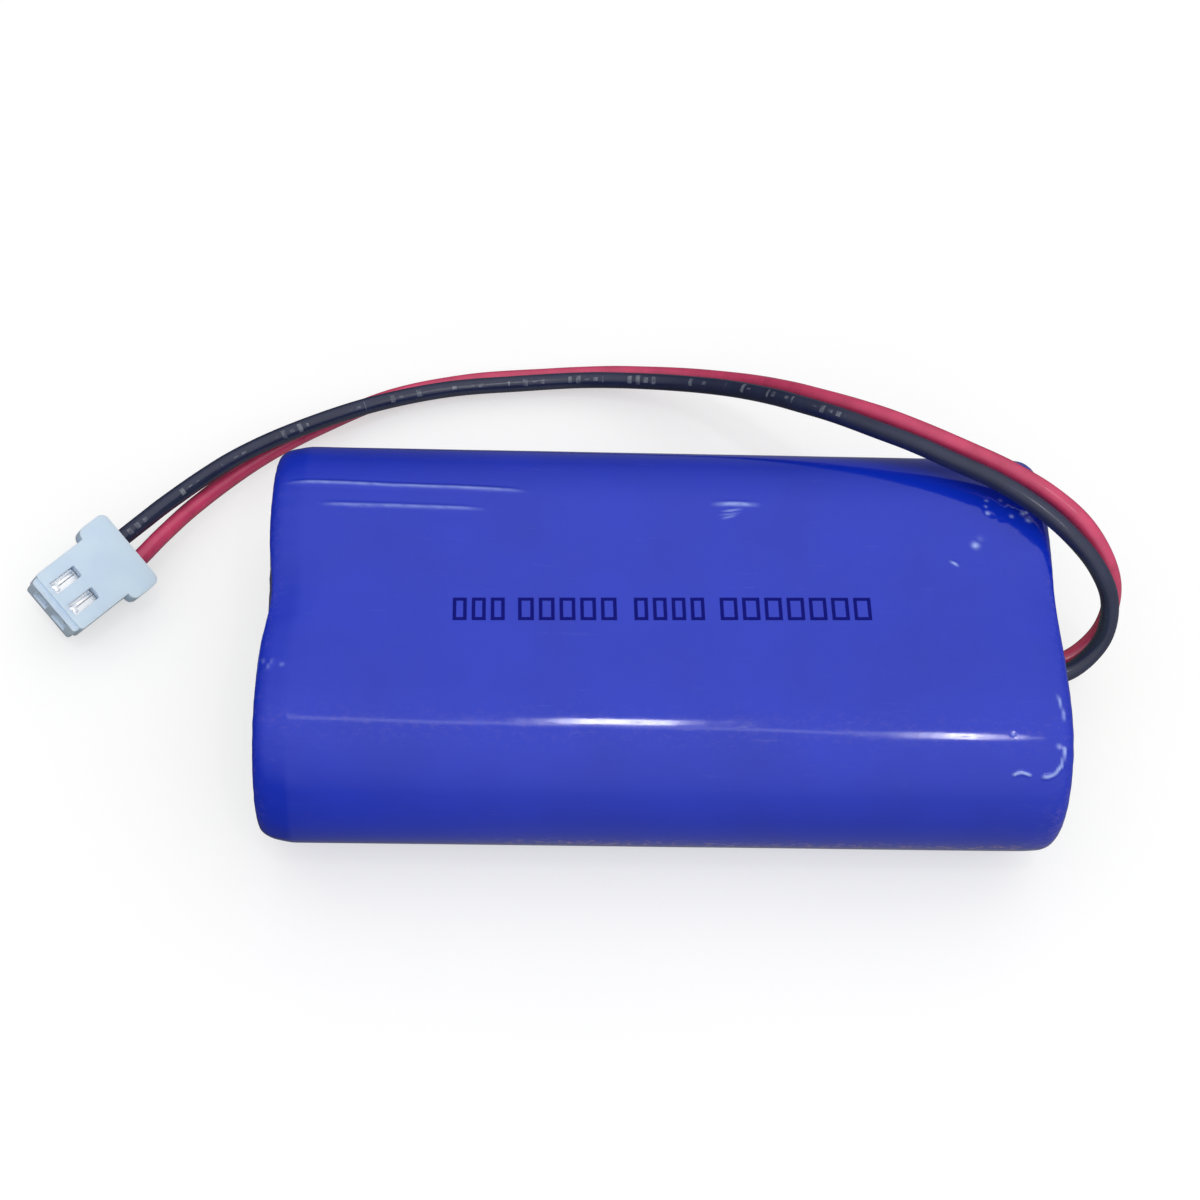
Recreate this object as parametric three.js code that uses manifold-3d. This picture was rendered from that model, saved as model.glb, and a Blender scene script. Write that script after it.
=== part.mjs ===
// Two-cell lithium-ion battery pack: two 18650 cells side by side in a heat-shrink sleeve, with a
// protection board at one end and a red and a black lead that run to a two-pin plug.
// Millimetres. X runs along the cells towards the end that the leads leave, Y points to the rear,
// Z is up. The origin is the centre of the flat face that the pack rests on.

import * as THREE from 'three';
import { mergeVertices } from 'three/addons/utils/BufferGeometryUtils.js';
import Module from 'manifold-3d';

const wasm = await Module();
wasm.setup();

// ---- Driving dimensions -------------------------------------------------------------------

const SLEEVE = { length: 68, radius: 9.35, wall: 0.2, edge: 1.3, lip: 6.8 };
const CELL = { length: 64.85, radius: 9.05, wrap: 0.1, spacing: 18.4, leftEnd: -33.3 };
const CAN = { radius: 8.9, wall: 0.25, floor: 0.15, top: 64.5, groove: 60.95, grooveDepth: 0.9 };
const BOARD = { x: 32.05, thickness: 0.6, width: 33, height: 7.5 };
const PAPER = { thickness: 0.2, radius: 8.2 };
const STRIP = { thickness: 0.15, width: 5 };
const LEAD = { radius: 0.8, sides: 8, steps: 54 };
const SENSE = { radius: 0.4, sides: 8, steps: 14 };
const PLUG = {
  length: 9.15, width: 6.4, thickness: 4.2, pitch: 2.5,
  earWidth: 8.1, earLength: 3.1, flange: 0.8,
  rear: [-48.85, 11.7, 4.55], yaw: 227.2, pitchAngle: -1.9, roll: -28.2,
};

const AXIS_Z = SLEEVE.radius;
const CELL_Y = CELL.spacing / 2;
const CELL_RIGHT = CELL.leftEnd + CELL.length;
const BOARD_FACE = BOARD.x + BOARD.thickness;
const LATHE_STEPS = 24;
const SMALL_LATHE_STEPS = 12;
const CURVE_STEPS = 3;
const CORNER_STEPS = 4;
const GAP = 0.05;

// ---- Colours and materials ----------------------------------------------------------------

const material = (colour, roughness, metalness = 0) =>
  new THREE.MeshStandardMaterial({ color: colour, roughness, metalness });

const FINISH = {
  sleeve: material(0x3c4cbd, 0.2),
  wrap: material(0x4a9a5c, 0.35),
  steel: material(0xb9bcc0, 0.35, 1),
  nickel: material(0xc9c7be, 0.3, 1),
  aluminium: material(0xcfd2d4, 0.4, 1),
  winding: material(0x2d2f33, 0.7),
  gasket: material(0xe6e8ea, 0.5),
  paper: material(0xb9c7a4, 0.85),
  board: material(0x17603a, 0.45),
  chip: material(0x1c1c1f, 0.5),
  resistor: material(0x2a2a30, 0.45),
  capacitor: material(0xa78560, 0.5),
  solder: material(0xc4c7ca, 0.25, 1),
  glue: material(0xe9dfc0, 0.4),
  red: material(0xb04460, 0.4),
  black: material(0x23252c, 0.4),
  sense: material(0xd8c23a, 0.5),
  nylon: material(0xcfdff2, 0.4),
  tin: material(0xd6d8da, 0.25, 1),
};

// ---- Building blocks ----------------------------------------------------------------------

const pack = new THREE.Group();

function add(name, geometry, finish, parent = pack) {
  const mesh = new THREE.Mesh(geometry, finish);
  mesh.name = name;
  parent.add(mesh);
  return mesh;
}

// A closed profile of [radius, height] points turned about the local Y axis.
function turned(profile, steps = LATHE_STEPS, closed = false) {
  const points = profile.map(([radius, height]) => new THREE.Vector2(radius, height));
  if (closed) points.push(points[0].clone());
  return new THREE.LatheGeometry(points, steps);
}

function ring(inner, outer, low, high, steps = LATHE_STEPS) {
  return turned([[inner, low], [outer, low], [outer, high], [inner, high]], steps, true);
}

// An outline in a plane of two world axes, given a thickness along the third one.
function plate(shape, thickness) {
  return new THREE.ExtrudeGeometry(shape, {
    depth: thickness, curveSegments: CURVE_STEPS, bevelEnabled: false,
  });
}

function polygon(points) {
  return new THREE.Shape(points.map(([across, up]) => new THREE.Vector2(across, up)));
}

function block(sizeX, sizeY, sizeZ, x, y, z) {
  return new THREE.BoxGeometry(sizeX, sizeY, sizeZ).translate(x, y, z);
}

// A box between two corners, each [x, y, z].
function cuboid(low, high) {
  const size = high.map((value, axis) => value - low[axis]);
  const centre = high.map((value, axis) => (value + low[axis]) / 2);
  return block(...size, ...centre);
}

function roundedSlot(centreY, centreZ, halfWidth, halfHeight, corner) {
  const path = new THREE.Path();
  const right = halfWidth - corner;
  const top = halfHeight - corner;
  path.absarc(centreY + right, centreZ + top, corner, 0, Math.PI / 2);
  path.absarc(centreY - right, centreZ + top, corner, Math.PI / 2, Math.PI);
  path.absarc(centreY - right, centreZ - top, corner, Math.PI, 1.5 * Math.PI);
  path.absarc(centreY + right, centreZ - top, corner, 1.5 * Math.PI, 2 * Math.PI);
  return path;
}

function roundedRectangle(centreY, centreZ, halfWidth, halfHeight, corner) {
  const slot = roundedSlot(centreY, centreZ, halfWidth, halfHeight, corner);
  return new THREE.Shape(slot.getPoints(CORNER_STEPS));
}

// Turns a flat outline drawn as (Y, Z) and extruded along its own Z so that it lies across X.
function acrossX(geometry, x) {
  const turn = new THREE.Matrix4().makeBasis(
    new THREE.Vector3(0, 1, 0), new THREE.Vector3(0, 0, 1), new THREE.Vector3(1, 0, 0),
  );
  return geometry.applyMatrix4(turn).translate(x, 0, 0);
}

// The tube of a wire along a smooth route.
function wire(route, { radius, sides, steps }) {
  const section = Array.from({ length: sides }, (_, side) => {
    const angle = (2 * Math.PI * side) / sides;
    return [radius * Math.cos(angle), radius * Math.sin(angle)];
  });
  const path = new THREE.CatmullRomCurve3(route.map((point) => new THREE.Vector3(...point)));
  return new THREE.ExtrudeGeometry(polygon(section), { steps, extrudePath: path });
}

function solid(geometry) {
  const bare = geometry.clone();
  bare.deleteAttribute('normal');
  bare.deleteAttribute('uv');
  const merged = mergeVertices(bare);
  return new wasm.Manifold(new wasm.Mesh({
    numProp: 3,
    vertProperties: new Float32Array(merged.attributes.position.array),
    triVerts: new Uint32Array(merged.index.array),
  }));
}

function geometryOf(manifold) {
  const mesh = manifold.getMesh();
  const geometry = new THREE.BufferGeometry();
  geometry.setAttribute('position', new THREE.BufferAttribute(mesh.vertProperties, 3));
  geometry.setIndex(new THREE.BufferAttribute(mesh.triVerts, 1));
  return geometry;
}

function joined(geometries) {
  return geometries.map(solid).reduce((whole, piece) => whole.add(piece));
}

function cutFrom(whole, geometries) {
  return geometries.map(solid).reduce((rest, piece) => rest.subtract(piece), whole);
}

// ---- Sleeve and end papers ----------------------------------------------------------------

// The points of a racetrack outline of the given end radius, round the two cell axes.
function racetrack(radius) {
  const points = [];
  const halfSteps = LATHE_STEPS / 2;
  for (const side of [1, -1]) {
    for (let step = 0; step <= halfSteps; step += 1) {
      const angle = (Math.PI * step) / halfSteps;
      points.push([
        side * (CELL_Y + radius * Math.sin(angle)),
        AXIS_Z + side * radius * Math.cos(angle),
      ]);
    }
  }
  return points;
}

// A closed loop of [x, radius] stations, each a racetrack ring, joined into one skin.
function racetrackSkin(stations) {
  const rings = stations.map(([x, radius]) => racetrack(radius).map(([y, z]) => [x, y, z]));
  const count = rings[0].length;
  const index = [];
  rings.forEach((_, station) => {
    const next = (station + 1) % rings.length;
    for (let point = 0; point < count; point += 1) {
      const follow = (point + 1) % count;
      const [a, b] = [station * count + point, station * count + follow];
      const [c, d] = [next * count + point, next * count + follow];
      index.push(a, b, c, b, d, c);
    }
  });
  const geometry = new THREE.BufferGeometry();
  geometry.setAttribute('position', new THREE.Float32BufferAttribute(rings.flat(2), 3));
  geometry.setIndex(index);
  return geometry;
}

// The sleeve is open at both ends, where its shrunk edge turns in over the end papers.
function sleeve() {
  const { length, radius, wall, edge, lip } = SLEEVE;
  const bendX = length / 2 - edge;
  const bendRadius = radius - edge;
  const bend = (size, side) => Array.from({ length: CURVE_STEPS + 1 }, (_, step) => {
    const angle = (Math.PI / 2) * (step / CURVE_STEPS);
    return [side * (bendX + size * Math.cos(angle)), bendRadius + size * Math.sin(angle)];
  });
  const outside = [[length / 2, lip], ...bend(edge, 1), ...bend(edge, -1).reverse(), [-length / 2, lip]];
  const inner = edge - wall;
  const inside = [
    [wall - length / 2, lip], ...bend(inner, -1), ...bend(inner, 1).reverse(), [length / 2 - wall, lip],
  ];
  return racetrackSkin([...outside, ...inside]);
}

function paper(radius, slots) {
  const outline = polygon(racetrack(radius));
  outline.holes.push(...slots);
  return plate(outline, PAPER.thickness);
}

const PAPER_LEFT_X = -SLEEVE.length / 2 + SLEEVE.wall + GAP;
const PAPER_RIGHT_X = SLEEVE.length / 2 - SLEEVE.wall - 2 * GAP - PAPER.thickness;
const LEAD_SLOT = { y: -1.45, z: 8.15, halfWidth: 2.3, halfHeight: 1.5, corner: 1.1 };

add('outer_sleeve', sleeve(), FINISH.sleeve);
add('end_paper_left', acrossX(paper(PAPER.radius, []), PAPER_LEFT_X), FINISH.paper);
add('end_paper_right', acrossX(paper(PAPER.radius, [
  roundedSlot(LEAD_SLOT.y, LEAD_SLOT.z, LEAD_SLOT.halfWidth, LEAD_SLOT.halfHeight, LEAD_SLOT.corner),
]), PAPER_RIGHT_X), FINISH.paper);

// ---- Cells --------------------------------------------------------------------------------

// Each cell is built along its own Y axis, from its negative end at 0 to its positive end.

function canProfile() {
  const { radius, wall, floor, top, groove, grooveDepth } = CAN;
  const inner = radius - wall;
  return [
    [0, floor], [radius - 1, floor], [radius - 0.35, floor + 0.27], [radius, floor + 0.85],
    [radius, groove - 0.8], [radius - grooveDepth, groove], [radius, groove + 0.8],
    [radius, top - 0.9], [radius - 0.4, top - 0.2], [7.3, top],
    [7.3, top - wall], [inner - 0.35, top - 0.45], [inner, top - 1],
    [inner, groove + 0.95], [inner - grooveDepth, groove], [inner, groove - 0.95],
    [inner, floor + 0.9], [radius - 1, floor + wall], [0, floor + wall],
  ];
}

function wrapProfile() {
  const { length, radius, wrap } = CELL;
  const inner = radius - wrap;
  return [
    [6.8, 0], [8.1, 0], [8.75, 0.3], [radius, 0.95],
    [radius, length - 0.95], [8.7, length - 0.25], [8.1, length], [6.8, length],
    [6.8, length - wrap], [8.05, length - wrap], [8.62, length - 0.33], [inner, length - 0.98],
    [inner, 0.97], [8.68, 0.38], [8.05, wrap], [6.8, wrap],
  ];
}

const GASKET_PROFILE = [
  [7.2, 62], [8.58, 62], [8.58, 63.5], [8.2, 63.95], [7.4, 64.12],
  [7.4, 63.85], [8, 63.7], [8.15, 63.4], [8.15, 62.35], [7.2, 62.35],
];
const VENT_PROFILE = [
  [0, 62.2], [2, 62.2], [2.6, 62.42], [8.05, 62.42], [8.05, 62.75], [2.6, 62.75], [2, 62.5], [0, 62.5],
];
const CAP_PROFILE = [
  [0, 64.4], [3.6, 64.4], [4.2, 62.85], [8, 62.85], [8, 63.2], [4.6, 63.2], [4.05, 64.82], [0, 64.82],
];

// Inner and outer radius, and lower and upper height, of a cell's plain rings.
const TOP_RING = [4.5, 8, 64.58, 64.7];
const TOP_INSULATOR = [1.6, 8.3, 58.6, 58.85];
const WINDING = [1.6, 8.45, 1.7, 58.4];
const CENTRE_PIN = [1, 1.3, 2, 58];
const BOTTOM_INSULATOR = [2, 8.2, 1.25, 1.5];
const ANODE_TAB = [[-1.2, 0.45], [5.75, 0.45], [5.75, 1.15], [5.6, 1.15], [5.6, 0.6], [-1.2, 0.6]];
const CATHODE_TAB = [[5.15, 59], [5.15, 62.1], [-1.5, 62.1], [-1.5, 61.95], [5, 61.95], [5, 59]];
const CELL_TAB_WIDTH = 4;

function cellTab(outline) {
  return plate(polygon(outline), CELL_TAB_WIDTH).translate(0, 0, -CELL_TAB_WIDTH / 2);
}

function addCell(name, y, positiveToRight) {
  const cell = new THREE.Group();
  cell.position.set(positiveToRight ? CELL.leftEnd : CELL_RIGHT, y, AXIS_Z);
  cell.rotation.z = positiveToRight ? -Math.PI / 2 : Math.PI / 2;
  pack.add(cell);
  const pieces = {
    can: [turned(canProfile()), FINISH.steel],
    wrap: [turned(wrapProfile(), LATHE_STEPS, true), FINISH.wrap],
    gasket: [turned(GASKET_PROFILE, LATHE_STEPS, true), FINISH.gasket],
    vent_disc: [turned(VENT_PROFILE), FINISH.aluminium],
    top_cap: [turned(CAP_PROFILE), FINISH.nickel],
    top_ring: [ring(...TOP_RING), FINISH.paper],
    top_insulator: [ring(...TOP_INSULATOR), FINISH.gasket],
    winding: [ring(...WINDING), FINISH.winding],
    centre_pin: [ring(...CENTRE_PIN, SMALL_LATHE_STEPS), FINISH.steel],
    bottom_insulator: [ring(...BOTTOM_INSULATOR), FINISH.gasket],
    anode_tab: [cellTab(ANODE_TAB), FINISH.nickel],
    cathode_tab: [cellTab(CATHODE_TAB), FINISH.aluminium],
  };
  for (const [piece, [geometry, finish]] of Object.entries(pieces)) {
    add(`${name}_${piece}`, geometry, finish, cell);
  }
}

addCell('front_cell', -CELL_Y, false);
addCell('rear_cell', CELL_Y, true);

// Two beads of hot-melt glue hold the cells together in the valley under them.
const GLUE_SECTION = [[0.7, 5.5], [-0.7, 5.5], [-1.9, 3.5], [-2.6, 2.2], [2.6, 2.2], [1.9, 3.5]];
const GLUE = { length: 16, centres: [-16, 16] };
GLUE.centres.forEach((centreX, bead) => {
  const geometry = acrossX(plate(polygon(GLUE_SECTION), GLUE.length), centreX - GLUE.length / 2);
  add(`glue_bead_${bead + 1}`, geometry, FINISH.glue);
});

// ---- Nickel strips and sense wire ---------------------------------------------------------

const LINK = { halfWidth: 13.5, halfHeight: 4, corner: 1.5 };
const LINK_SLOT = { halfWidth: 3, halfHeight: 0.4, corner: 0.3 };
const END_TAB = { start: 5, fold: 17, reach: 14 };

// The link joins the front cell's positive end to the rear cell's negative end.
function seriesLink() {
  const shape = roundedRectangle(0, AXIS_Z, LINK.halfWidth, LINK.halfHeight, LINK.corner);
  const { halfWidth, halfHeight, corner } = LINK_SLOT;
  for (const side of [-1, 1]) {
    shape.holes.push(roundedSlot(side * CELL_Y, AXIS_Z, halfWidth, halfHeight, corner));
  }
  return acrossX(plate(shape, STRIP.thickness), CELL.leftEnd - GAP - STRIP.thickness);
}

// Each end tab lies on a cell, turns out past the board's end and back over its outer face.
function endTab(side) {
  const flat = CELL_RIGHT + GAP;
  const over = BOARD_FACE + GAP;
  const { start, fold, reach } = END_TAB;
  const { thickness, width } = STRIP;
  const outline = [
    [flat, start], [flat, fold], [over + thickness, fold], [over + thickness, reach],
    [over, reach], [over, fold - thickness], [flat + thickness, fold - thickness],
    [flat + thickness, start],
  ].map(([x, y]) => [x, side * y]);
  return plate(polygon(outline), width).translate(0, 0, AXIS_Z - width / 2);
}

const SENSE_ROUTE = [
  [-33.2, 0, 12.6], [-31, 0, 12.6], [-20, 0.3, 13.2], [-6, -0.3, 13.5],
  [8, 0.3, 13.4], [22, 0, 13], [30, 0, 12.6], [31.95, 0, 12.6],
];

add('series_link', seriesLink(), FINISH.nickel);
add('positive_tab', endTab(1), FINISH.nickel);
add('negative_tab', endTab(-1), FINISH.nickel);
add('sense_wire', wire(SENSE_ROUTE, SENSE), FINISH.sense);

// ---- Protection board ---------------------------------------------------------------------

const BOARD_PAPER = { lowZ: 5.6, highZ: 11.2 };
const FOOT = { width: 0.3, length: 0.7, thickness: 0.2, sunk: 0.1 };

function boardPart(sizeY, sizeZ, height, y, z) {
  return block(height, sizeY, sizeZ, BOARD_FACE + GAP + height / 2, y, z);
}

// A moulded chip with a row of feet above and below it.
function chip({ width, height, thickness, feet, footPitch, y, z }) {
  const pieces = [boardPart(width, height, thickness, y, z)];
  for (const side of [-1, 1]) {
    for (let foot = 0; foot < feet; foot += 1) {
      const footY = y + (foot - (feet - 1) / 2) * footPitch;
      const footZ = z + side * (height / 2 + FOOT.length / 2 - FOOT.sunk);
      pieces.push(boardPart(FOOT.width, FOOT.length, FOOT.thickness, footY, footZ));
    }
  }
  return geometryOf(joined(pieces));
}

const MOSFET = { width: 3, height: 4.4, thickness: 0.75, feet: 4, footPitch: 0.65, z: AXIS_Z };
const CONTROLLER = { width: 2.9, height: 1.6, thickness: 0.75, feet: 3, footPitch: 0.95, y: 3.9, z: 10.4 };
const SMALL_PART = { width: 1.6, height: 0.8, resistor: 0.45, capacitor: 0.7 };
const RESISTORS = [[1.8, 11.6], [6, 7.1], [1.9, 6.7]];
const CAPACITORS = [[3.9, 7.1], [-4.6, 11.8]];

add('protection_board', block(
  BOARD.thickness, BOARD.width, BOARD.height, BOARD.x + BOARD.thickness / 2, 0, AXIS_Z,
), FINISH.board);
add('board_paper', cuboid(
  [CELL_RIGHT + GAP + STRIP.thickness + GAP, -BOARD.width / 2, BOARD_PAPER.lowZ],
  [BOARD.x - GAP, BOARD.width / 2, BOARD_PAPER.highZ],
), FINISH.paper);
add('mosfet_1', chip({ ...MOSFET, y: -8.4 }), FINISH.chip);
add('mosfet_2', chip({ ...MOSFET, y: 9.4 }), FINISH.chip);
add('protection_controller', chip(CONTROLLER), FINISH.chip);
for (const [kind, places] of Object.entries({ resistor: RESISTORS, capacitor: CAPACITORS })) {
  places.forEach(([y, z], number) => {
    const body = boardPart(SMALL_PART.width, SMALL_PART.height, SMALL_PART[kind], y, z);
    add(`${kind}_${number + 1}`, body, FINISH[kind]);
  });
}

// ---- Leads --------------------------------------------------------------------------------

// Both leads leave the middle of the right-hand end, loop up and back over the rear corner of the
// sleeve, come down behind the pack and run along the surface it rests on to the plug.
const BLACK_ROUTE = [
  [33, -2.4, 8.4], [36.9, -1.7, 8.8], [39.5, 0.3, 10.9], [39.6, 2.3, 14.3], [37.9, 4, 17.4],
  [35.2, 6, 19.6], [32.2, 8.4, 20.5], [28.9, 10.8, 20.6], [25.6, 13, 20.1], [22.4, 15.2, 19.5],
  [19.2, 17.4, 18.5], [16.2, 19.7, 17.2], [13.5, 22.1, 15.3], [11.2, 24.5, 13.1], [6.9, 28.7, 8.6],
  [1.4, 32, 4.7], [-5.5, 33.6, 2.6], [-13, 33.4, 2], [-20.4, 32.3, 2.2], [-27.5, 30, 2.6],
  [-34.1, 26.5, 3.4], [-40.1, 22.1, 4.4], [-45.5, 16.9, 4.9], [-47.6, 14.7, 4.95],
  [-49.65, 12.5, 5], [-50.55, 11.5, 5.1],
];
const RED_ROUTE = [
  [33, -0.5, 7.8], [37, 0, 7.8], [39.8, 1.9, 9.6], [40.3, 3.7, 13.1], [39.1, 5.2, 16.5],
  [36.8, 7.3, 19.1], [33.9, 9.6, 20.2], [30.6, 12, 20.3], [27.3, 14.2, 19.9], [24, 16.4, 19.3],
  [20.7, 18.6, 18.5], [17.7, 20.8, 17.1], [15, 23.1, 15.2], [12.8, 25.5, 12.9], [8.7, 29.7, 8.3],
  [3.3, 33.1, 4.3], [-3.5, 35, 1.8], [-10.9, 35.1, 0.9], [-18.4, 34.2, 0.9], [-25.6, 32.2, 0.9],
  [-32.1, 28.4, 1.3], [-37.9, 23.8, 2], [-43.4, 17.6, 3.1], [-46, 14, 3.6],
  [-48.05, 11, 3.8], [-49.05, 9.95, 3.9],
];

// The solder cone that holds a lead's bare end on the board, about its own Y axis.
const SOLDER_CONE = [[0, 0], [0.85, 0], [0.6, 0.12], [0.4, 0.24], [0, 0.24]];

function addLead(colour, route, finish) {
  const [, y, z] = route[0];
  const cone = add(`solder_${colour}`, turned(SOLDER_CONE, SMALL_LATHE_STEPS), FINISH.solder);
  cone.rotation.z = -Math.PI / 2;
  cone.position.set(BOARD_FACE + GAP, y, z);
  add(`lead_${colour}`, wire(route, LEAD), finish);
}

addLead('red', RED_ROUTE, FINISH.red);
addLead('black', BLACK_ROUTE, FINISH.black);

// ---- Plug ---------------------------------------------------------------------------------

// The plug's own frame: X from its rear to its mating face, Y across the two ways, Z to its top.
const WAY_Z = -0.15;
const CAVITY = { halfWidth: 0.95, halfHeight: 1.1, mouth: 1.05, mouthLength: 1.6, end: 8.2 };
const SOCKET_HALF = 0.55;
const WINDOW = { start: 5.3, end: 8.1, halfWidth: 0.6 };
const RIB = { start: 2.9, end: 8.2, y: 2.4, halfWidth: 0.3, height: 0.4 };
const TERMINAL = { start: 3.2, end: 8, halfWidth: 0.65, halfHeight: 0.8 };
const CRIMP = { start: 1.9, half: 0.5 };
const PIN_HOLE = { start: 4.7, half: 0.35 };
// How far a cutting block runs past the face that it opens, and how far joined blocks overlap.
const BEYOND = 0.5;
const OVERLAP = 0.2;

function plugHousing() {
  const { length, width, thickness, pitch, earWidth, earLength, flange } = PLUG;
  const [side, top, base] = [width / 2, thickness / 2, -thickness / 2];
  const ribs = [-RIB.y, RIB.y].map((y) => cuboid(
    [RIB.start, y - RIB.halfWidth, base - RIB.height], [RIB.end, y + RIB.halfWidth, base + OVERLAP],
  ));
  const body = joined([
    cuboid([0, -side, base], [length, side, top]),
    cuboid([0, -earWidth / 2, base - flange], [earLength, earWidth / 2, top]),
    ...ribs,
  ]);
  const cuts = [-pitch / 2, pitch / 2].flatMap((y) => [
    cuboid(
      [-BEYOND, y - CAVITY.mouth, WAY_Z - CAVITY.halfHeight],
      [CAVITY.mouthLength, y + CAVITY.mouth, WAY_Z + CAVITY.halfHeight],
    ),
    cuboid(
      [CAVITY.mouthLength - OVERLAP, y - CAVITY.halfWidth, WAY_Z - CAVITY.halfHeight],
      [CAVITY.end, y + CAVITY.halfWidth, WAY_Z + CAVITY.halfHeight],
    ),
    cuboid(
      [CAVITY.end - OVERLAP, y - SOCKET_HALF, WAY_Z - SOCKET_HALF],
      [length + BEYOND, y + SOCKET_HALF, WAY_Z + SOCKET_HALF],
    ),
    cuboid([WINDOW.start, y - WINDOW.halfWidth, 0], [WINDOW.end, y + WINDOW.halfWidth, top + BEYOND]),
  ]);
  return geometryOf(cutFrom(body, cuts));
}

// A crimped socket contact: a box open to the front, with the crimped barrel behind it.
function plugTerminal(y) {
  const { start, end, halfWidth, halfHeight } = TERMINAL;
  const whole = joined([
    cuboid([start, y - halfWidth, WAY_Z - halfHeight], [end, y + halfWidth, WAY_Z + halfHeight]),
    cuboid(
      [CRIMP.start, y - CRIMP.half, WAY_Z - CRIMP.half],
      [start + OVERLAP, y + CRIMP.half, WAY_Z + CRIMP.half],
    ),
  ]);
  const pinHole = cuboid(
    [PIN_HOLE.start, y - PIN_HOLE.half, WAY_Z - PIN_HOLE.half],
    [end + BEYOND, y + PIN_HOLE.half, WAY_Z + PIN_HOLE.half],
  );
  return geometryOf(cutFrom(whole, [pinHole]));
}

const plug = new THREE.Group();
const radians = THREE.MathUtils.degToRad;
plug.position.set(...PLUG.rear);
plug.rotation.set(radians(PLUG.roll), radians(PLUG.pitchAngle), radians(PLUG.yaw), 'ZYX');
pack.add(plug);
add('plug_housing', plugHousing(), FINISH.nylon, plug);
add('plug_terminal_black', plugTerminal(-PLUG.pitch / 2), FINISH.tin, plug);
add('plug_terminal_red', plugTerminal(PLUG.pitch / 2), FINISH.tin, plug);

export default pack;
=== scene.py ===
"""Looks of a two-cell battery pack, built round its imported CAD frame. Metres, Z up, as in the CAD."""
import math

import bmesh
import bpy
import numpy as np
from mathutils import Matrix, Vector, noise


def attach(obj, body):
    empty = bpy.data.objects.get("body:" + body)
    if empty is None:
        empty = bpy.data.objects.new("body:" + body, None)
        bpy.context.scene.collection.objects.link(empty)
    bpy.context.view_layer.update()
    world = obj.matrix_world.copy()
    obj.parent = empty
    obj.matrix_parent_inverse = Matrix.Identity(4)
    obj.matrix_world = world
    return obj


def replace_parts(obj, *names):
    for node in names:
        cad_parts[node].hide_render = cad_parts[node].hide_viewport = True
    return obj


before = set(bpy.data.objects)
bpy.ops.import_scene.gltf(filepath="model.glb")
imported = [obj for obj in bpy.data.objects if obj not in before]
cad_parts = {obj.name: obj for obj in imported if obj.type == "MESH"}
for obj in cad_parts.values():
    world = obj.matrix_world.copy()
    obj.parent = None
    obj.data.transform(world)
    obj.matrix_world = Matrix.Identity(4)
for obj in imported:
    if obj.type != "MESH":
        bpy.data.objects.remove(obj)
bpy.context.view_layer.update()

MM = 0.001


def linked(name, data):
    """A new object in the scene that shows the given data."""
    thing = bpy.data.objects.new(name, data)
    bpy.context.scene.collection.objects.link(thing)
    return thing


# ---- Camera --------------------------------------------------------

# Millimetres and degrees. The camera looks at the target from a distance.
CAMERA = {
    "target": (-5.42, 0, 17.25), "distance": 171.9, "elevation": 60.3, "azimuth": -4.1,
    "roll": 4.5, "lens": 60.4, "sensor": 36, "nearest": 5,
}


def add_camera():
    """A camera in front of and above the pack, rolled a little to one side."""
    elevation, azimuth, roll = (math.radians(CAMERA[k]) for k in ("elevation", "azimuth", "roll"))
    back = Vector((
        math.sin(azimuth) * math.cos(elevation),
        -math.cos(azimuth) * math.cos(elevation),
        math.sin(elevation),
    ))
    level = (-back).cross(Vector((0, 0, 1))).normalized()
    upright = back.cross(level)
    right = level * math.cos(roll) + upright * math.sin(roll)
    up = upright * math.cos(roll) - level * math.sin(roll)
    place = (Vector(CAMERA["target"]) + back * CAMERA["distance"]) * MM
    camera = linked("camera", bpy.data.cameras.new("camera"))
    camera.data.sensor_width = CAMERA["sensor"]
    camera.data.lens = CAMERA["lens"]
    camera.data.clip_start = CAMERA["nearest"] * MM
    turn = Matrix((right, up, back)).transposed().to_4x4()
    camera.matrix_world = Matrix.Translation(place) @ turn
    bpy.context.scene.camera = camera


add_camera()

# ---- Material building blocks --------------------------------------


def colour(red, green, blue):
    """A screen colour of 0 to 255 as the linear colour that a shader takes."""
    def linear(value):
        value /= 255
        return value / 12.92 if value <= 0.04045 else ((value + 0.055) / 1.055) ** 2.4
    return (linear(red), linear(green), linear(blue), 1)


def grey(value):
    return (value, value, value, 1)


# The range that nearly all of a noise's values fall in.
NOISE_SPAN = (0.3, 0.7)


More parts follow.
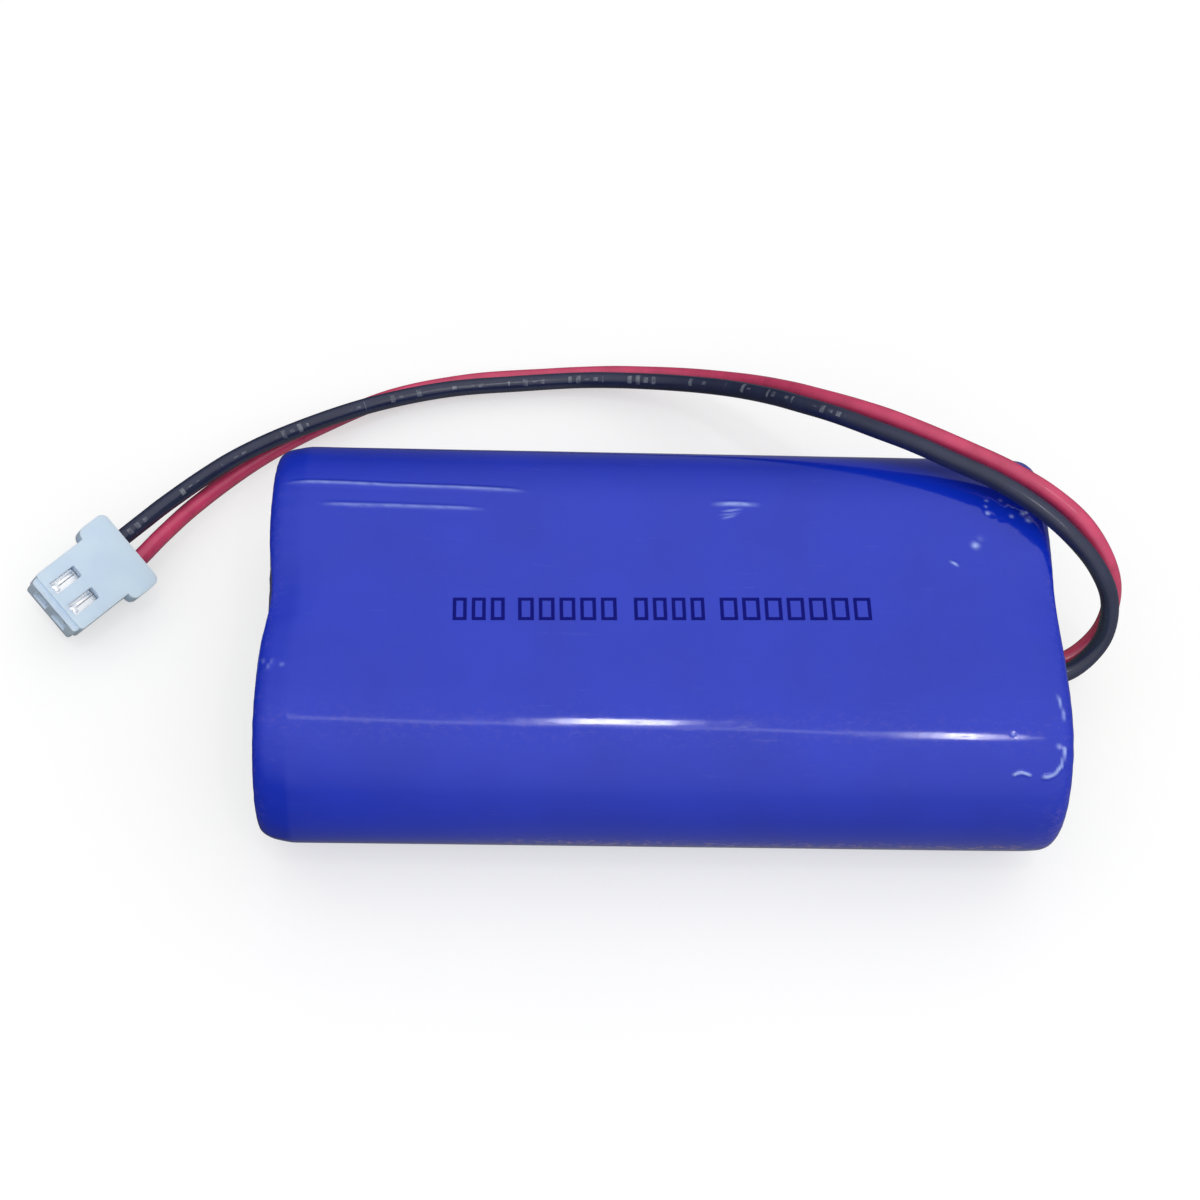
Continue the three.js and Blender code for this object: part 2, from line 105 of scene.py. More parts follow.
class Graph:
    """The nodes of a new material or world, with short ways to add nodes and join them."""

    def __init__(self, name, kind="materials", surface="Principled BSDF"):
        self.data = getattr(bpy.data, kind).new(name)
        self.data.use_nodes = True
        self.tree = self.data.node_tree
        self.surface = self.tree.nodes[surface]

    def add(self, kind, settings=None, **inputs):
        node = self.tree.nodes.new("ShaderNode" + kind)
        for key, value in (settings or {}).items():
            setattr(node, key, value)
        for key, value in inputs.items():
            self.put(node, key.replace("_", " "), value)
        return node

    def put(self, node, socket, value):
        target = node.inputs[int(socket) if socket.isdigit() else socket]
        if isinstance(value, bpy.types.NodeSocket):
            self.tree.links.new(value, target)
        else:
            target.default_value = value

    def set(self, **inputs):
        for key, value in inputs.items():
            self.put(self.surface, key.replace("_", " "), value)

    def math(self, operation, first, second=0.0, clamp=False):
        node = self.add("Math", {"operation": operation, "use_clamp": clamp})
        self.put(node, "0", first)
        self.put(node, "1", second)
        return node.outputs[0]

    def where(self, scale=1.0, stretch=(1, 1, 1)):
        """Object coordinates in millimetres, times scale and stretch."""
        place = self.add("TexCoord").outputs["Object"]
        sizes = [scale * side / MM for side in stretch]
        return self.add("Mapping", Vector=place, Scale=sizes).outputs["Vector"]

    def noise(self, scale, detail=3.0, roughness=0.5, stretch=(1, 1, 1)):
        """Noise with about scale lumps in each millimetre."""
        node = self.add("TexNoise", Vector=self.where(scale, stretch), Scale=1.0)
        self.put(node, "Detail", detail)
        self.put(node, "Roughness", roughness)
        return node.outputs["Fac"]

    def ramp(self, value, low, high, start, end):
        """start where value is at or under low, end where it is at or over high."""
        node = self.add("MapRange", Value=value)
        ends = {"From Min": low, "From Max": high, "To Min": start, "To Max": end}
        for key, setting in ends.items():
            self.put(node, key, setting)
        return node.outputs["Result"]

    def mix(self, amount, first, second):
        # Inputs 6 and 7 are the node's two colours, and output 2 is the mixed one.
        node = self.add("Mix", {"data_type": "RGBA"})
        self.put(node, "0", amount)
        self.put(node, "6", first)
        self.put(node, "7", second)
        return node.outputs[2]

    def bump(self, height, strength, distance):
        """Raises the surface by height. distance is in millimetres."""
        node = self.add("Bump", Height=height, Strength=strength, Distance=distance * MM)
        self.set(Normal=node.outputs["Normal"])

    def cloud(self, scale, detail=3.0, roughness=0.5, stretch=(1, 1, 1), start=0, end=1):
        """Noise that runs the whole way from start to end."""
        return self.ramp(self.noise(scale, detail, roughness, stretch), *NOISE_SPAN, start, end)

    def times(self, first, second):
        return self.math("MULTIPLY", first, second)

    def attribute(self, name):
        return self.add("Attribute", {"attribute_name": name}).outputs["Fac"]


def shade(base, factor):
    """A lighter or darker colour."""
    return (*(min(1, channel * factor) for channel in base[:3]), 1)


def moulded(name, base, roughness=0.4, spread=0.12, grain=4.0, relief=0.006, milky=0.0):
    """A moulded or extruded plastic with a faint grain and slightly uneven colour and gloss."""
    graph = Graph(name)
    gloss_change, milk_depth = 0.06, 2
    graph.set(
        Base_Color=graph.mix(graph.cloud(0.35), shade(base, 1 - spread), shade(base, 1 + spread)),
        Roughness=graph.cloud(1.3, start=roughness - gloss_change, end=roughness + gloss_change),
        Subsurface_Weight=milky,
        Subsurface_Radius=(1, 1, 1),
        Subsurface_Scale=milk_depth * MM,
    )
    graph.bump(graph.noise(grain), 0.4, relief)
    return graph.data


def brushed(name, base, roughness=0.3, stretch=(0.3, 6, 6), relief=0.003):
    """A drawn or rolled metal with fine lines along its length and stains in its sheen."""
    graph = Graph(name)
    lines = graph.noise(2.0, 4.0, 0.6, stretch)
    stain = graph.ramp(graph.noise(0.4), 0.35, 0.7, 0, 1)
    graph.set(
        Base_Color=graph.mix(stain, base, shade(base, 0.86)),
        Metallic=1.0,
        Roughness=graph.ramp(lines, *NOISE_SPAN, roughness - 0.08, roughness + 0.1),
    )
    graph.bump(lines, 0.5, relief)
    return graph.data


def fibrous(name, base):
    """Pressed insulating paper, with fibres, specks and a soft nap."""
    graph = Graph(name)
    fibre = graph.noise(2.5, 6.0, 0.65, (1, 0.35, 1.4))
    speck = graph.ramp(graph.noise(5.0, 2.0), 0.66, 0.72, 0, 1)
    body = graph.mix(graph.ramp(fibre, *NOISE_SPAN, 0, 1), shade(base, 0.86), shade(base, 1.08))
    graph.set(Base_Color=graph.mix(speck, body, shade(base, 0.6)), Roughness=0.85)
    graph.bump(fibre, 0.8, 0.03)
    return graph.data


# Marks on the film: their colours, and how far scratches and the scuffs with painted glints cover the
# blue. The crease colour is a painted highlight.
FILM_COLOURS = {
    "scratch": colour(120, 130, 205), "scuffs_and_glints": colour(168, 140, 176),
    "crease": colour(172, 192, 255), "ink": colour(4, 6, 112),
}
FILM_COVER = {"scratch": 0.08, "scuffs_and_glints": 0.8}


def film(name, base):
    """Shrunk PVC film: deep blue, painted highlights on creases and dents, fine scratches, scuffed edges
    with painted glints, and a printed line.
    """
    graph = Graph(name)
    body = graph.mix(graph.cloud(0.12, 4.0), shade(base, 0.93), shade(base, 1.07))
    # Specks that break up the scuffs, which are partly painted glints.
    speckle = graph.ramp(graph.noise(2.2, 5.0, 0.7, (0.6, 1, 1)), 0.5, 0.66, 0, 1)
    scuffs_and_glints = graph.times(speckle, graph.attribute("scuff_glint"))
    scratch = graph.ramp(graph.noise(1.6, 6.0, 0.75, (0.12, 1.3, 1)), 0.62, 0.7, 0, 1)
    body = graph.mix(graph.times(scratch, FILM_COVER["scratch"]), body, FILM_COLOURS["scratch"])
    body = graph.mix(graph.times(scuffs_and_glints, FILM_COVER["scuffs_and_glints"]), body, FILM_COLOURS["scuffs_and_glints"])
    # Painted highlights: pale lines along the creases and pale spots in the dents.
    body = graph.mix(graph.attribute("crease"), body, FILM_COLOURS["crease"])
    ink = printed_line(graph)
    bare_gloss, ink_gloss = 0.5, 0.05
    graph.set(
        Base_Color=graph.mix(ink, body, FILM_COLOURS["ink"]),
        Roughness=graph.cloud(0.7, 4.0, start=0.07, end=0.11),
        Specular_IOR_Level=graph.ramp(ink, 0, 1, bare_gloss, ink_gloss),
    )
    grain = graph.math("ADD", graph.times(graph.noise(1.1), 0.7), scratch)
    graph.bump(grain, 0.3, 0.006)
    return graph.data


# The print on the film is a line of empty boxes in four groups, one box for each character. Its
# strokes fade out over "soft_inside" and "soft_outside", and it reaches "depth" down from the top.
PRINT = {
    "centre": (-0.1, -1.5), "turn": 1.05, "height": 2.2, "stroke": 0.3, "strength": 0.95,
    "gap": 0.42, "soft_inside": 0.02, "soft_outside": 0.03, "depth": 1,
}

# Each group's start along the line, its number of boxes and their pitch.
PRINT_GROUPS = ((-18.0, 3, 1.6), (-12.5, 5, 1.75), (-2.7, 4, 1.6), (4.6, 7, 1.9))


def printed_line(graph):
    """How inked the film is, from 0 to 1."""
    place = graph.add("SeparateXYZ", Vector=graph.where()).outputs
    across = graph.math("SUBTRACT", place[0], PRINT["centre"][0])
    up = graph.math("SUBTRACT", place[1], PRINT["centre"][1])
    turn = math.radians(PRINT["turn"])
    along = graph.math("ADD", across, graph.times(up, math.sin(turn)))
    over = graph.math("SUBTRACT", up, graph.times(across, math.sin(turn)))
    outside_height = graph.math("SUBTRACT", graph.math("ABSOLUTE", over), PRINT["height"] / 2)
    total = 0.0
    for group in PRINT_GROUPS:
        total = graph.math("ADD", printed_group(graph, along, outside_height, *group), total)
    on_top = graph.math("GREATER_THAN", place[2], SLEEVE["top"] - PRINT["depth"])
    return graph.math("MULTIPLY", total, on_top, clamp=True)


def printed_group(graph, along, outside_height, start, count, pitch):
    """The outlines of count boxes at an even pitch. Distances outside a box are over 0."""
    step = graph.math("DIVIDE", graph.math("SUBTRACT", along, start), pitch)
    # The third input says how far step may be from the middle of the group.
    in_group = graph.math("COMPARE", step, count / 2)
    in_group.node.inputs[2].default_value = count / 2
    offset = graph.math("SUBTRACT", graph.math("FRACT", step), 0.5)
    sideways = graph.times(graph.math("ABSOLUTE", offset), pitch)
    outside_width = graph.math("SUBTRACT", sideways, (pitch - PRINT["gap"]) / 2)
    edge = graph.math("MAXIMUM", outside_width, outside_height)
    half = PRINT["stroke"] / 2
    from_stroke = graph.math("ABSOLUTE", graph.math("ADD", edge, half))
    line = graph.ramp(
        from_stroke, half - PRINT["soft_inside"], half + PRINT["soft_outside"], PRINT["strength"], 0,
    )
    return graph.times(line, in_group)


def lead_print(graph, along, turn, marks):
    """How inked a lead is: worn groups of upright strokes, each with its own height."""
    stroke = graph.math("DIVIDE", along, marks["stroke"])
    number = graph.math("FLOOR", stroke)
    chance = graph.add("TexWhiteNoise", {"noise_dimensions": "1D"}, W=number).outputs[0]
    half_height = graph.ramp(chance, 0.15, 1, 0, marks["half_height"])
    off_line = graph.math("ABSOLUTE", graph.math("SUBTRACT", turn, marks["turn"]))
    group = graph.math("FRACT", graph.math("DIVIDE", along, marks["group"]))
    inked = graph.ramp(graph.noise(1.6, 4.0), 0.35, 0.6, *marks["worn"])
    for condition in (
        graph.math("LESS_THAN", graph.math("FRACT", stroke), marks["stroke_share"]),
        graph.math("LESS_THAN", off_line, half_height),
        graph.math("LESS_THAN", group, marks["group_share"]),
        graph.math("GREATER_THAN", along, marks["from"]),
    ):
        inked = graph.times(inked, condition)
    return inked


def insulation(name, base, dust_colour, marks=None):
    """A lead's extruded insulation: soft gloss, a little dust and, on one lead, worn grey print."""
    graph = Graph(name)
    body = graph.mix(graph.cloud(0.5, 4.0), shade(base, 0.86), shade(base, 1.12))
    speckle = graph.ramp(graph.noise(3.0, 5.0, 0.7), 0.6, 0.75, 0, 0.18)
    body = graph.mix(speckle, body, dust_colour)
    if marks:
        inked = lead_print(graph, graph.attribute("along"), graph.attribute("turn"), marks)
        body = graph.mix(inked, body, marks["colour"])
    graph.set(
        Base_Color=body,
        Roughness=graph.cloud(1.5, start=0.2, end=0.28),
        Specular_IOR_Level=0.5,
    )
    graph.bump(graph.noise(2.4, 4.0, 0.6), 0.3, 0.02)
    return graph.data


# ---- Mesh building blocks ------------------------------------------


def finished(name, mesh, material):
    """A piece of the pack that shows a mesh in one material."""
    mesh.materials.clear()
    mesh.materials.append(material)
    piece = linked(name, mesh)
    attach(piece, "root")
    return piece


def new_piece(name, vertices, faces, material):
    """A smooth piece from vertices in millimetres."""
    mesh = bpy.data.meshes.new(name)
    mesh.from_pydata((np.asarray(vertices) * MM).tolist(), [], faces)
    mesh.shade_smooth()
    return finished(name, mesh, material)


def add_attribute(piece, name, values):
    """One number for each point, which a material can read by name."""
    layer = piece.data.attributes.new(name, "FLOAT", "POINT")
    layer.data.foreach_set("value", np.asarray(values, dtype=np.float32).ravel())


def grid_faces(rows, columns, wrap_rows, wrap_columns):
    """Four-sided faces over a grid of points that is numbered row by row."""
    faces = []
    for row in range(rows if wrap_rows else rows - 1):
        below = (row + 1) % rows
        for column in range(columns if wrap_columns else columns - 1):
            beside = (column + 1) % columns
            faces.append((
                row * columns + column, row * columns + beside,
                below * columns + beside, below * columns + column,
            ))
    return faces


def smooth_step(value, low, high):
    """0 up to low, 1 from high, and a smooth rise between them."""
    part = np.clip((value - low) / (high - low), 0, 1)
    return part * part * (3 - 2 * part)


def noise_field(first, second, size, seed):
    """Smooth noise of about -1 to 1 over two arrays of millimetres, in lumps of the given size."""
    flat = zip(np.ravel(first) / size, np.ravel(second) / size)
    values = [noise.noise((a, b, seed)) for a, b in flat]
    return np.array(values).reshape(np.shape(first))


# How many steps a rounded corner is drawn in: more from a radius of FINE_CORNER.
FINE_CORNER, FINE_STEPS, COARSE_STEPS = 0.2, 5, 2


def rectangle(low_x, high_x, low_y, high_y, corner=0.0):
    """An outline of a rectangle with rounded corners."""
    if not corner:
        return [(low_x, low_y), (high_x, low_y), (high_x, high_y), (low_x, high_y)]
    steps = FINE_STEPS if corner >= FINE_CORNER else COARSE_STEPS
    points = []
    centres = (
        (high_x - corner, low_y + corner, -90), (high_x - corner, high_y - corner, 0),
        (low_x + corner, high_y - corner, 90), (low_x + corner, low_y + corner, 180),
    )
    for x, y, start in centres:
        for step in range(steps + 1):
            angle = math.radians(start + 90 * step / steps)
            points.append((x + corner * math.cos(angle), y + corner * math.sin(angle)))
    return points


# ---- Leads ---------------------------------------------------------

LEAD = {
    "radius": 0.8, "sides": 24, "spacing": 0.4, "curve_steps": 24,
    "strands": 7, "lay": 11.0, "strand_share": 0.008, "swell_share": 0.012, "swell_length": 4.0,
}

# Each lead's route as (x, y, z) points in millimetres, from where it leaves the sleeve to the plug.
BLACK_ROUTE = (
    (33, -2.4, 8.4), (36.9, -1.7, 8.8), (39.5, 0.3, 10.9), (39.6, 2.3, 14.3), (37.9, 4, 17.4),
    (35.2, 6, 19.6), (32.2, 8.4, 20.5), (28.9, 10.8, 20.6), (25.6, 13, 20.1), (22.4, 15.2, 19.5),
    (19.2, 17.4, 18.5), (16.2, 19.7, 17.2), (13.5, 22.1, 15.3), (11.2, 24.5, 13.1), (6.9, 28.7, 8.6),
    (1.4, 32, 4.7), (-5.5, 33.6, 2.6), (-13, 33.4, 2), (-20.4, 32.3, 2.2), (-27.5, 30, 2.6),
    (-34.1, 26.5, 3.4), (-40.1, 22.1, 4.4), (-45.5, 16.9, 4.9), (-47.6, 14.7, 4.95),
    (-49.65, 12.5, 5), (-50.55, 11.5, 5.1),
)
RED_ROUTE = (
    (33, -0.5, 7.8), (37, 0, 7.8), (39.8, 1.9, 9.6), (40.3, 3.7, 13.1), (39.1, 5.2, 16.5),
    (36.8, 7.3, 19.1), (33.9, 9.6, 20.2), (30.6, 12, 20.3), (27.3, 14.2, 19.9), (24, 16.4, 19.3),
    (20.7, 18.6, 18.5), (17.7, 20.8, 17.1), (15, 23.1, 15.2), (12.8, 25.5, 12.9), (8.7, 29.7, 8.3),
    (3.3, 33.1, 4.3), (-3.5, 35, 1.8), (-10.9, 35.1, 0.9), (-18.4, 34.2, 0.9), (-25.6, 32.2, 0.9),
    (-32.1, 28.4, 1.3), (-37.9, 23.8, 2), (-43.4, 17.6, 3.1), (-46, 14, 3.6),
    (-48.05, 11, 3.8), (-49.05, 9.95, 3.9),
)


def smooth_route(route, spacing):
    """Points at an even spacing along a centripetal Catmull-Rom curve through the route."""
    points = np.array(route, dtype=float)
    points = np.vstack([2 * points[0] - points[1], points, 2 * points[-1] - points[-2]])
    curve = []
    for start in range(len(points) - 3):
        knots = points[start:start + 4]
        gaps = np.sqrt(np.linalg.norm(np.diff(knots, axis=0), axis=1))
        times = np.concatenate([[0], np.cumsum(gaps)])
        moments = np.linspace(times[1], times[2], LEAD["curve_steps"], endpoint=False)[:, None]

        def between(first, second, low, high):
            share = (moments - times[low]) / (times[high] - times[low])
            return first * (1 - share) + second * share

        a, b, c = (between(knots[i], knots[i + 1], i, i + 1) for i in range(3))
        curve.append(between(between(a, b, 0, 2), between(b, c, 1, 3), 1, 2))
    curve = np.vstack([*curve, points[-2]])
    run = np.concatenate([[0], np.cumsum(np.linalg.norm(np.diff(curve, axis=0), axis=1))])
    marks = np.linspace(0, run[-1], int(run[-1] / spacing) + 1)
    return np.stack([np.interp(marks, run, curve[:, axis]) for axis in range(3)], axis=1), marks


def lead_rings(line, marks, turn, seed):
    """Rings of points round the line, with the lay of the strands just showing through."""
    ahead = np.gradient(line, axis=0)
    ahead /= np.linalg.norm(ahead, axis=1)[:, None]
    side = np.cross(ahead, (0, 0, 1))
    side /= np.linalg.norm(side, axis=1)[:, None]
    upward = np.cross(side, ahead)
    angle = 2 * np.pi * turn
    twist = 2 * np.pi * marks[:, None] / LEAD["lay"]
    strands = LEAD["strand_share"] * np.cos(LEAD["strands"] * angle + twist)
    swell = noise_field(marks, np.zeros_like(marks), LEAD["swell_length"], seed)[:, None]
    radius = LEAD["radius"] * (1 + strands + LEAD["swell_share"] * swell)
    over, across = np.cos(angle)[None, :, None], np.sin(angle)[None, :, None]
    return line[:, None] + radius[..., None] * (over * upward[:, None] + across * side[:, None])


def lead_tube(name, route, material, seed):
    """A lead's insulation as a closed tube. Returns its line too, in metres."""
    line, marks = smooth_route(route, LEAD["spacing"])
    sides = LEAD["sides"]
    turn = np.arange(sides) / sides
    rings = lead_rings(line, marks, turn, seed).reshape(-1, 3)
    faces = grid_faces(len(marks), sides, False, True)
    last, start_point, end_point = len(rings) - sides, len(rings), len(rings) + 1
    for number in range(sides):
        following = (number + 1) % sides
        faces.append((following, number, start_point))
        faces.append((last + number, last + following, end_point))
    faces = [face[::-1] for face in faces]
    piece = new_piece(name, np.vstack([rings, line[0], line[-1]]), faces, material)
    add_attribute(piece, "along", np.append(np.repeat(marks, sides), (marks[0], marks[-1])))
    add_attribute(piece, "turn", np.append(np.tile((turn + 0.5) % 1, len(marks)), (0, 0)))
    return piece, line * MM


# The black lead's print: the pitch of its groups and strokes, the share of each that is inked, its
# place round the lead and half its height in turns, and where along the lead it starts.
LEAD_MARKS = {
    "group": 6.1, "group_share": 0.6, "stroke": 0.9, "stroke_share": 0.5,
    "turn": 0.42, "half_height": 0.1, "from": 42, "worn": (0.05, 0.5), "colour": colour(150, 155, 165),
}
BLACK_INSULATION = insulation(
    "black_insulation", colour(38, 44, 72), colour(110, 116, 150), LEAD_MARKS,
)
RED_INSULATION = insulation("red_insulation", colour(208, 68, 108), colour(168, 120, 140))
BLACK_SEED, RED_SEED = 3.1, 8.7
black_lead, black_line = lead_tube(
    "black_lead_tube", BLACK_ROUTE, BLACK_INSULATION, BLACK_SEED,
)
red_lead, red_line = lead_tube("red_lead_tube", RED_ROUTE, RED_INSULATION, RED_SEED)
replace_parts(black_lead, "lead_black")
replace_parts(red_lead, "lead_red")

# ---- Sleeve --------------------------------------------------------

SLEEVE = {
    "length": 68, "radius": 9.35, "wall": 0.2, "edge": 1.3, "lip": 6.8, "cell_y": 9.2, "top": 18.7,
}
HALF_LENGTH = SLEEVE["length"] / 2
HALF_TURN = math.pi * SLEEVE["radius"]
GIRTH = 4 * SLEEVE["cell_y"] + 2 * HALF_TURN

# Girth is the distance round the sleeve from the middle of its top: up to 9.2 on the flat, then on
# round the rear cell to the middle of the underside. It is minus to the front.

# Creases in the film: (x, girth) points, steepest slope, half width, the strength of the painted
# highlight along them, and the length over which each end fades out.
CREASES = (
    (((-33.2, 10.55), (-28, 10.5), (-22.9, 10.3), (-17.6, 10.2), (-11.5, 9.95)), 0.55, 0.5, 0.5, 3),
    (((-30.2, 8.3), (-26, 8.22), (-22.8, 8.2), (-15, 8.02)), 0.42, 0.5, 0.4, 3),
    (((3.9, 8.95), (5.7, 8.99), (8.9, 8.97)), 0.37, 0.6, 0.8, 2.4),
    (((4.9, 8.22), (6.0, 8.34), (7.2, 8.56)), 0.37, 0.26, 0.6, 1),
    (((4.6, 7.84), (5.7, 7.94), (7.0, 8.2)), 0.37, 0.22, 0.4, 1.2),
    (((4.9, 7.46), (5.85, 7.69), (6.6, 8.0)), 0.37, 0.26, 0.6, 0.8),
    (((24.6, 3.72), (25.06, 3.43), (25.55, 3.1)), 0.4, 0.4, 0.8, 0.5),
    (((32.56, -8.9), (32.72, -9.9), (32.96, -11.04), (33, -11.7)), 0.5, 0.34, 0.7, 0.8),
    (
        ((32.94, -13.5), (32.88, -14.46), (32.68, -15.21), (32.22, -15.9), (31.65, -16.16), (31, -16.2)),
        0.5, 0.4, 1, 0.3,
    ),
    (
        ((28.6, -16.12), (29.05, -15.86), (29.46, -15.8), (29.89, -15.93), (30.35, -16.1)),
        0.5, 0.36, 1, 0.3,
    ),
    (((-33.6, -6.4), (-33.35, -7.2)), 0.3, 0.4, 0.25, 0.4),
    (((-32.5, -6.5), (-32.84, -7.24), (-33.2, -8)), 0.4, 0.36, 0.32, 0.7),
)

# Small dents: x, girth, radius and the strength of the painted highlight in them.
DENTS = (
    (28.51, 9.87, 0.12, 0.7), (28.38, 9.23, 0.11, 0.6), (28.48, 8.54, 0.16, 1), (29.75, 9.9, 0.11, 0.6),
    (30.56, 8.28, 0.14, 0.9), (31.61, 8.55, 0.16, 1), (32.01, 7.94, 0.19, 1), (31.89, 8.68, 0.12, 0.8),
    (32.53, 8.88, 0.12, 0.8), (27.1, 5.28, 0.3, 1), (27.6, 5.9, 0.3, 0.15), (-31.78, -7.38, 0.18, 0.35),
    (32.49, -13.59, 0.18, 0.9), (28.64, -12.65, 0.13, 1),
)

# A dent's depth as a share of its radius, the painted highlight line's share of a crease's width,
# and how unevenly the painted highlight is laid on.
DENT_DEPTH = 0.3
HIGHLIGHT_PAINT = {"line_share": 0.55, "middle": 0.85, "change": 0.5, "size": 0.5, "longer": 2, "seed": 3.3}

# The film is drawn in between the two cells at each end, where its lip is longer too.
WAIST = {"spread": 4, "lip": 1.8, "left": 0.7, "right": 0.2, "start": 26, "lip_stays": 0.9}
NARROWING = {"start": 31, "left": 0.4, "right": 0.12}

# How far the film sinks between the cells along the whole length and more so at its ends.
HOLLOW = {"top": 0.16, "under": 0.2, "end": 0.4, "end_start": 27.5}

# Slow swells all over, which only sink it, ripples near the ends, and the crumpled patch at the rear
# right corner. "longer" is how many times longer than wide the lumps are.
SWELL = {"height": 0.012, "size": 7.0, "longer": 3, "seed": 1.7}
RIPPLE = {"height": 0.05, "size": 1.3, "longer": 3, "seed": 5.2}
CRUMPLE = {
    "x": 30.3, "girth": 9.0, "half_length": 2.2, "half_width": 1.2,
    "height": 0.1, "middle": 0.25, "size": 0.8, "seed": 9.4,
}

# The turned-in lips: how their edges wander, and their small pleats. "apart" keeps the two ends from
# being alike, and "on_bend" is the share of the pleats that reaches the bend.
RAGGED = {"depth": 0.35, "size": 2.4, "apart": 40, "seed": 2.2}
PLEATS = {"depth": 0.14, "size": 1.0, "apart": 60, "seed": 6.1, "on_bend": 0.25, "sunk": 0.05}

# Lines of scuffs along the film: girth, spread, strength, and the x that each starts and is full at. Two
# of them start past the left end, so they are full all along. The lines at girths -25.6 and -12.5 are
# also painted glints, along the bottom front edge and along the front highlight.
SCUFF_AND_GLINT_LINES = (
    (-25.6, 0.9, 1, -20, -8), (25.6, 0.9, 0.25, -36, -35), (-12.5, 1.5, 0.08, -36, -35),
    (-22, 4, 0.3, 31, 33.8), (22, 4, 0.3, 31, 33.8),
)
RUBBED_ENDS = {"start": 32.6, "full": 33.8, "strength": 0.1}

# The distance between the film's points along X and round its girth, and the zones where it is fine.
ALONG_GRID = {"coarse": 0.5, "fine": 0.16, "zones": ((-40, -29), (3.5, 9.5), (24, 40))}
ROUND_GRID = {"coarse": 0.5, "fine": 0.11, "zones": ((-17.2, -6.2), (2.6, 11.4))}
LIP_STEPS, BEND_STEPS = 6, 8


def spaced(low, high, coarse, fine, zones):
    """Marks from low to high, closer together inside the zones."""
    marks = [low]
    while marks[-1] < high:
        close = any(start <= marks[-1] < end for start, end in zones)
        marks.append(marks[-1] + (fine if close else coarse))
    marks = np.array(marks)
    return low + (marks - low) * (high - low) / (marks[-1] - low)


def around_section(girth, radius):
    """The (y, z) place and outward direction at a girth on a racetrack of the given end radius."""
    cell_y = SLEEVE["cell_y"]
    size, side = np.abs(girth), np.where(girth < 0, -1.0, 1.0)
    angle = np.clip((size - cell_y) / SLEEVE["radius"], 0, math.pi)
    centre = np.where(
        size < cell_y, size, np.where(angle < math.pi, cell_y, 2 * cell_y + HALF_TURN - size),
    )
    normal = np.stack([side * np.sin(angle), np.cos(angle)], axis=-1)
    place = np.stack([
        side * (centre + radius * np.sin(angle)), SLEEVE["radius"] + radius * np.cos(angle),
    ], axis=-1)
    return place, normal


def crease_profile(x, girth, points, width, fade):
    """1 along the top of a crease, falling to 0 at its half width and at both its ends."""
    nearest = np.full(x.shape, np.inf)
    run = np.zeros(x.shape)
    total = 0.0
    for start, end in zip(points, points[1:]):
        length = math.dist(start, end)
        way = np.array(end) - start
        part = np.clip(((x - start[0]) * way[0] + (girth - start[1]) * way[1]) / length**2, 0, 1)
        away = np.hypot(x - start[0] - part * way[0], girth - start[1] - part * way[1])
        closer = away < nearest
        nearest = np.where(closer, away, nearest)
        run = np.where(closer, total + part * length, run)
        total += length
    ridge = 0.5 + 0.5 * np.cos(np.pi * np.clip(nearest / width, 0, 1))
    return ridge * smooth_step(run, 0, fade) * smooth_step(total - run, 0, fade)


def dent_profile(along, across, radius):
    """1 in the middle of a dent, falling off evenly all round."""
    return np.exp(-(along**2 + across**2) / radius**2)


def film_relief(x, girth):
    """How far the film stands out from, or is drawn in from, the plain racetrack shape."""
    cell_y = SLEEVE["cell_y"]
    flat = np.clip(np.abs(girth) / cell_y, 0, 1)
    under = np.clip((GIRTH / 2 - np.abs(girth)) / cell_y, 0, 1)
    near_end = smooth_step(np.abs(x), HOLLOW["end_start"], HALF_LENGTH)
    swells = noise_field(x, girth * SWELL["longer"], SWELL["size"], SWELL["seed"])
    relief = SWELL["height"] * (swells - 1)
    for share, depth in ((flat, HOLLOW["top"]), (under, HOLLOW["under"])):
        relief -= depth * np.cos(np.pi / 2 * share) ** 2
        relief -= HOLLOW["end"] * near_end**2 * np.exp(-((share * cell_y / WAIST["spread"]) ** 2))
    narrowing = np.where(x < 0, NARROWING["left"], NARROWING["right"])
    relief -= narrowing * smooth_step(np.abs(x), NARROWING["start"], HALF_LENGTH)
    ripples = noise_field(x / RIPPLE["longer"], girth, RIPPLE["size"], RIPPLE["seed"])
    relief += RIPPLE["height"] * near_end * ripples
    for points, slope, width, _, fade in CREASES:
        relief += slope * 2 * width / math.pi * crease_profile(x, girth, points, width, fade)
    for dent_x, dent_girth, radius, _ in DENTS:
        relief -= DENT_DEPTH * radius * dent_profile(x - dent_x, girth - dent_girth, radius)
    return relief + crumpling(x, girth)


def crumpling(x, girth):
    """Sharp little folds in one patch."""
    along = (x - CRUMPLE["x"]) / CRUMPLE["half_length"]
    across = (girth - CRUMPLE["girth"]) / CRUMPLE["half_width"]
    folds = CRUMPLE["middle"] - np.abs(noise_field(x, girth, CRUMPLE["size"], CRUMPLE["seed"]))
    return CRUMPLE["height"] * folds * np.exp(-(along**2) - across**2)


def painted_crease_highlights(x, girth):
    """Painted highlight: how much paler the film is painted along the tops of its creases and in its
    dents.
    """
    lines = [
        highlight * crease_profile(x, girth, points, width * HIGHLIGHT_PAINT["line_share"], fade)
        for points, _, width, highlight, fade in CREASES
    ]
    spots = [
        highlight * dent_profile(x - dent_x, girth - dent_girth, radius)
        for dent_x, dent_girth, radius, highlight in DENTS
    ]
    patches = noise_field(x, girth * HIGHLIGHT_PAINT["longer"], HIGHLIGHT_PAINT["size"], HIGHLIGHT_PAINT["seed"])
    uneven = np.clip(HIGHLIGHT_PAINT["middle"] + HIGHLIGHT_PAINT["change"] * patches, 0, 1)
    return np.maximum.reduce(lines + spots) * uneven


